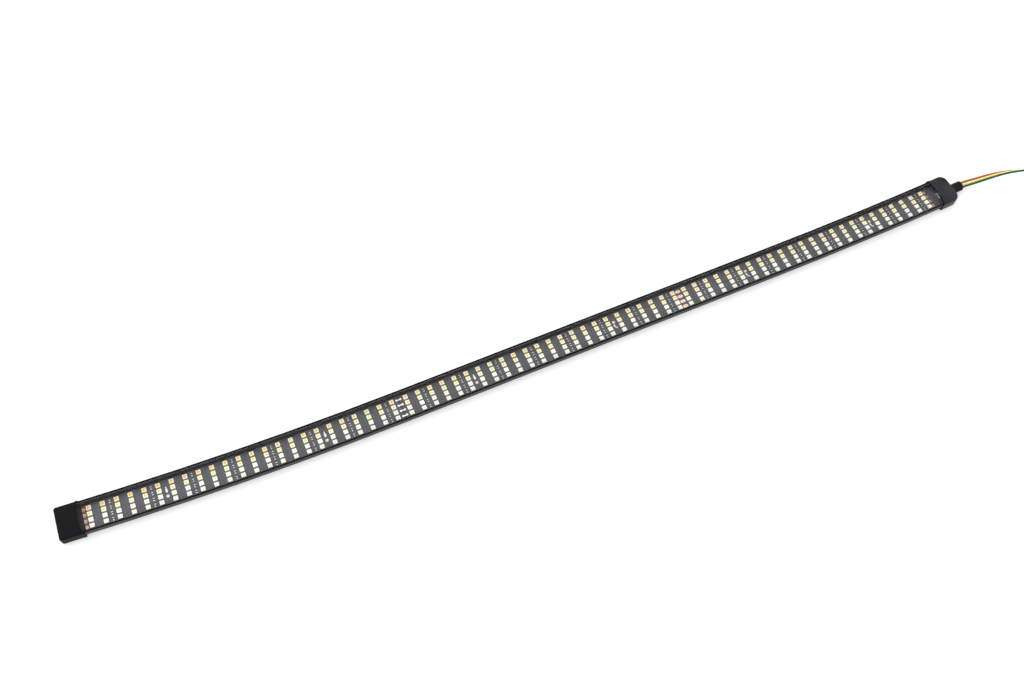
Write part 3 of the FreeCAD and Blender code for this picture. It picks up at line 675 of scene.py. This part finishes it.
def waxed_paper():
    """Pale yellow-white glassine with long fibres and a faint waxy gloss."""
    made, tree, shader = material("release liner", Coat_Weight=0.25, Coat_Roughness=0.3)
    place = add(tree, "ShaderNodeTexCoord").outputs["Object"]
    inputs = {"Vector": place, "Scale": (80.0, 900.0, 900.0)}
    stretched = add(tree, "ShaderNodeMapping", inputs).outputs[0]
    fibres = noise(tree, 1.0, 5.0, stretched)
    shade = mixed(tree, fibres, (0.80, 0.74, 0.58, 1), (0.90, 0.87, 0.76, 1))
    feed(tree, shader.inputs["Base Color"], shade)
    feed(tree, shader.inputs["Roughness"], sums(tree, "MULTIPLY_ADD", fibres, 0.3, 0.35))
    bump(tree, shader, fibres, 0.02 * MM)
    return made


dress(foam(), "adhesive_tape")
dress(waxed_paper(), "release_liner")


# %% [markdown]
# ## Wire insulation and the tie
# PVC insulation is smooth and slightly waxy, so it takes a soft coat over its colour, with small uneven
# spots where the pigment is thin. The same finish goes on the short wire ends inside the lead cap.

# %% Insulation
def insulation(name, colour, pale):
    """Smooth coloured PVC."""
    made, tree, shader = material(name, Coat_Roughness=0.25, Specular_IOR_Level=0.3)
    uneven = noise(tree, 350.0, 3.0)
    shade = mixed(tree, between(tree, uneven, 0.4, 0.75), colour, pale)
    feed(tree, shader.inputs["Base Color"], shade)
    feed(tree, shader.inputs["Roughness"], sums(tree, "MULTIPLY_ADD", uneven, 0.15, 0.35))
    feed(tree, shader.inputs["Coat Weight"], sums(tree, "MULTIPLY", uneven, 0.1))
    bump(tree, shader, noise(tree, 1200.0, 2.0), 0.01 * MM)
    return made


WIRE_COLOURS = {
    "brown": ((0.32, 0.060, 0.014, 1), (0.40, 0.095, 0.026, 1)),
    "yellow": ((0.95, 0.74, 0.20, 1), (0.97, 0.82, 0.34, 1)),
    "green": ((0.001, 0.075, 0.035, 1), (0.004, 0.11, 0.055, 1)),
}
for colour, (plain, pale) in WIRE_COLOURS.items():
    dress(insulation(f"{colour} insulation", plain, pale), wires[colour].name, f"wire_tail_{colour}")
    dress(bpy.data.materials[f"{colour} insulation"], f"wire_{colour}")
dress(bpy.data.materials["green insulation"], "wire_coil")


def tie_plastic():
    """Black nylon with a fine grain."""
    made, tree, shader = material("tie plastic", Specular_IOR_Level=0.5)
    grains = noise(tree, 1800.0, 3.0)
    shade = mixed(tree, grains, (0.010, 0.010, 0.010, 1), (0.03, 0.03, 0.03, 1))
    feed(tree, shader.inputs["Base Color"], shade)
    feed(tree, shader.inputs["Roughness"], sums(tree, "MULTIPLY_ADD", grains, 0.2, 0.3))
    bump(tree, shader, grains, 0.02 * MM)
    return made


dress(tie_plastic(), "coil_tie")

# %% [markdown]
# ## Ink on the boards
# The factory prints small white marks beside the test dots. Here they are plain shapes with no meaning:
# a ring round each dot and a rounded bar beside it. Each is a prism only a hair thick, so it keeps a
# sharp edge and casts no stray shadow. An outline is a list of angles and radii, extruded by one step.

# %% Printed marks
BOARD_TOP = 2.2 * MM
INK = 0.03 * MM
DOT_RADIUS = 0.75 * MM
RING_GAP = 0.05 * MM
RING_WIDE = 0.17 * MM
QUARTER_GAP = 0.08
UNIT = 12
SHORT_COLUMNS = 24


def on_strip(along, across):
    """X and Y of a place given along and across the strip: the reverse of the strip coordinates."""
    into_left = np.maximum(STRAIGHT_FROM - along, 0)
    into_right = np.maximum(along - STRAIGHT_TO, 0)
    turn = into_right / RIGHT_BEND - into_left / LEFT_BEND
    rise = LEFT_BEND * (1 - np.cos(into_left / LEFT_BEND))
    rise += RIGHT_BEND * (1 - np.cos(into_right / RIGHT_BEND))
    start = np.clip(along, STRAIGHT_FROM, STRAIGHT_TO)
    x = start + RIGHT_BEND * np.sin(into_right / RIGHT_BEND) - LEFT_BEND * np.sin(into_left / LEFT_BEND)
    return x - across * np.sin(turn), rise + across * np.cos(turn)


def prism(outlines):
    """Flat shapes: each outline's points at the board's face, and again an ink's depth up."""
    vertices, faces = [], []
    for ring in outlines:
        count, first = len(ring), len(vertices)
        x, y = on_strip(ring[:, 0], ring[:, 1])
        for level in (BOARD_TOP, BOARD_TOP + INK):
            vertices += np.column_stack([x, y, np.full(count, level)]).tolist()
        faces.append([first + step for step in range(count)][::-1])
        faces.append([first + count + step for step in range(count)])
        for step in range(count):
            here, beside = first + step, first + (step + 1) % count
            faces.append([here, beside, count + beside, count + here])
    return vertices, faces


def rounded_bar(along, across, long, wide, tilt=0.0):
    """A bar with round ends: a circle's points, moved out to one end or the other by their side."""
    angle = np.linspace(0, 2 * math.pi, 24, endpoint=False)
    u = wide / 2 * np.cos(angle)
    v = wide / 2 * np.sin(angle) + np.where(np.sin(angle) > 0, 1, -1) * (long - wide) / 2
    return np.column_stack([
        along + u * math.cos(tilt) - v * math.sin(tilt),
        across + u * math.sin(tilt) + v * math.cos(tilt),
    ])


def quarter_ring(along, across, inner, outer, start):
    """A quarter of a ring: the outer arc one way and the inner arc back."""
    angle = np.linspace(start, start + math.pi / 2 - QUARTER_GAP, 9)
    radius = np.concatenate([np.full(9, outer), np.full(9, inner)])
    turn = np.concatenate([angle, angle[::-1]])
    return np.column_stack([along + radius * np.cos(turn), across + radius * np.sin(turn)])


def between_columns(column):
    """Along the strip, the middle of the gap after a column."""
    side = -0.5 if column < SHORT_COLUMNS else 0.5
    return (column + 0.5 - (COLUMNS - 1) / 2) * COLUMN_PITCH + side * SPLICE_EXTRA


marks = []
for number, column in enumerate(range(UNIT // 2 - 1, COLUMNS, UNIT)):
    gap = between_columns(column)
    early = number < COLUMNS / UNIT / 2
    dot_across = (-0.65 if early else 0.5) * ROW_PITCH
    for quarter in range(4):
        start = quarter * math.pi / 2
        inner = DOT_RADIUS + RING_GAP
        marks.append(quarter_ring(gap, dot_across, inner, inner + RING_WIDE, start))
    if early:
        marks.append(rounded_bar(gap, 0.30 * ROW_PITCH, 2.6 * MM, 1.3 * MM))
        marks.append(rounded_bar(gap, 0.80 * ROW_PITCH, 1.4 * MM, 0.6 * MM))
    else:
        marks.append(rounded_bar(gap - 0.3 * MM, -0.25 * ROW_PITCH, 2.8 * MM, 0.95 * MM, 0.18))
        marks.append(rounded_bar(gap + 0.35 * MM, -0.55 * ROW_PITCH, 1.6 * MM, 0.95 * MM, 1.1))
ink_vertices, ink_faces = prism(marks)
ink_mesh = bpy.data.meshes.new("print_marks")
ink_mesh.from_pydata(ink_vertices, [], ink_faces)
ink_mesh.update()
ink = bpy.data.objects.new("print_marks", ink_mesh)
bpy.context.scene.collection.objects.link(ink)
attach(ink, "root")


def white_ink():
    """Screen-printed ink, slightly thin in places."""
    made, tree, shader = material("white ink", Specular_IOR_Level=0.4)
    thin = noise(tree, 4000.0, 3.0)
    shade = mixed(tree, thin, (0.72, 0.73, 0.75, 1), (0.92, 0.92, 0.92, 1))
    feed(tree, shader.inputs["Base Color"], shade)
    feed(tree, shader.inputs["Roughness"], sums(tree, "MULTIPLY_ADD", thin, 0.2, 0.5))
    return made


dress(white_ink(), "print_marks")
print("ink:", len(ink_faces), "faces")

# %% [markdown]
# ## Floor and light
# The strip lies on a plain white table under two wide soft lamps and a bright white world. The table
# gives off a little light of its own, which real tables don't do, to keep the shadows faint.

# %% Floor
FLOOR_HALF = 3.0
FLOOR_BELOW = 0.0002
WHITE = (1.0, 1.0, 1.0, 1)
floor_mesh = bpy.data.meshes.new("floor")
signs = [(-1, -1), (1, -1), (1, 1), (-1, 1)]
floor_corners = [(x * FLOOR_HALF, y * FLOOR_HALF, 0) for x, y in signs]
floor_mesh.from_pydata(floor_corners, [], [(0, 1, 2, 3)])
floor = bpy.data.objects.new("floor", floor_mesh)
floor.location.z = -FLOOR_BELOW
bpy.context.scene.collection.objects.link(floor)
floor_material, _, floor_shader = material("floor", Roughness=0.8, Specular_IOR_Level=0.2)
floor_shader.inputs["Base Color"].default_value = (0.93, 0.93, 0.93, 1)
floor_shader.inputs["Emission Color"].default_value = WHITE
floor_shader.inputs["Emission Strength"].default_value = 0.15
floor_mesh.materials.append(floor_material)


# %% Lights
def soft_light(name, place, target, width, depth, power):
    """A rectangular lamp that faces a target."""
    data = bpy.data.lights.new(name, "AREA")
    data.shape = "RECTANGLE"
    data.size = width
    data.size_y = depth
    data.energy = power
    lamp = bpy.data.objects.new(name, data)
    lamp.location = place
    lamp.rotation_euler = (Vector(target) - Vector(place)).to_track_quat("-Z", "Y").to_euler()
    bpy.context.scene.collection.objects.link(lamp)


soft_light("back", (-0.65, 0.95, 1.1), (0.0, 0.0, 0.0), 1.4, 1.0, 7.0)
soft_light("front", (-0.5, -1.0, 0.9), (0.0, 0.0, 0.0), 1.2, 0.6, 2.0)
world = bpy.data.worlds.new("studio")
world.use_nodes = True
background = world.node_tree.nodes["Background"]
background.inputs["Color"].default_value = WHITE
background.inputs["Strength"].default_value = 1.15
bpy.context.scene.world = world
bpy.context.scene.view_settings.view_transform = "Standard"

# %% Finish
bpy.context.view_layer.update()
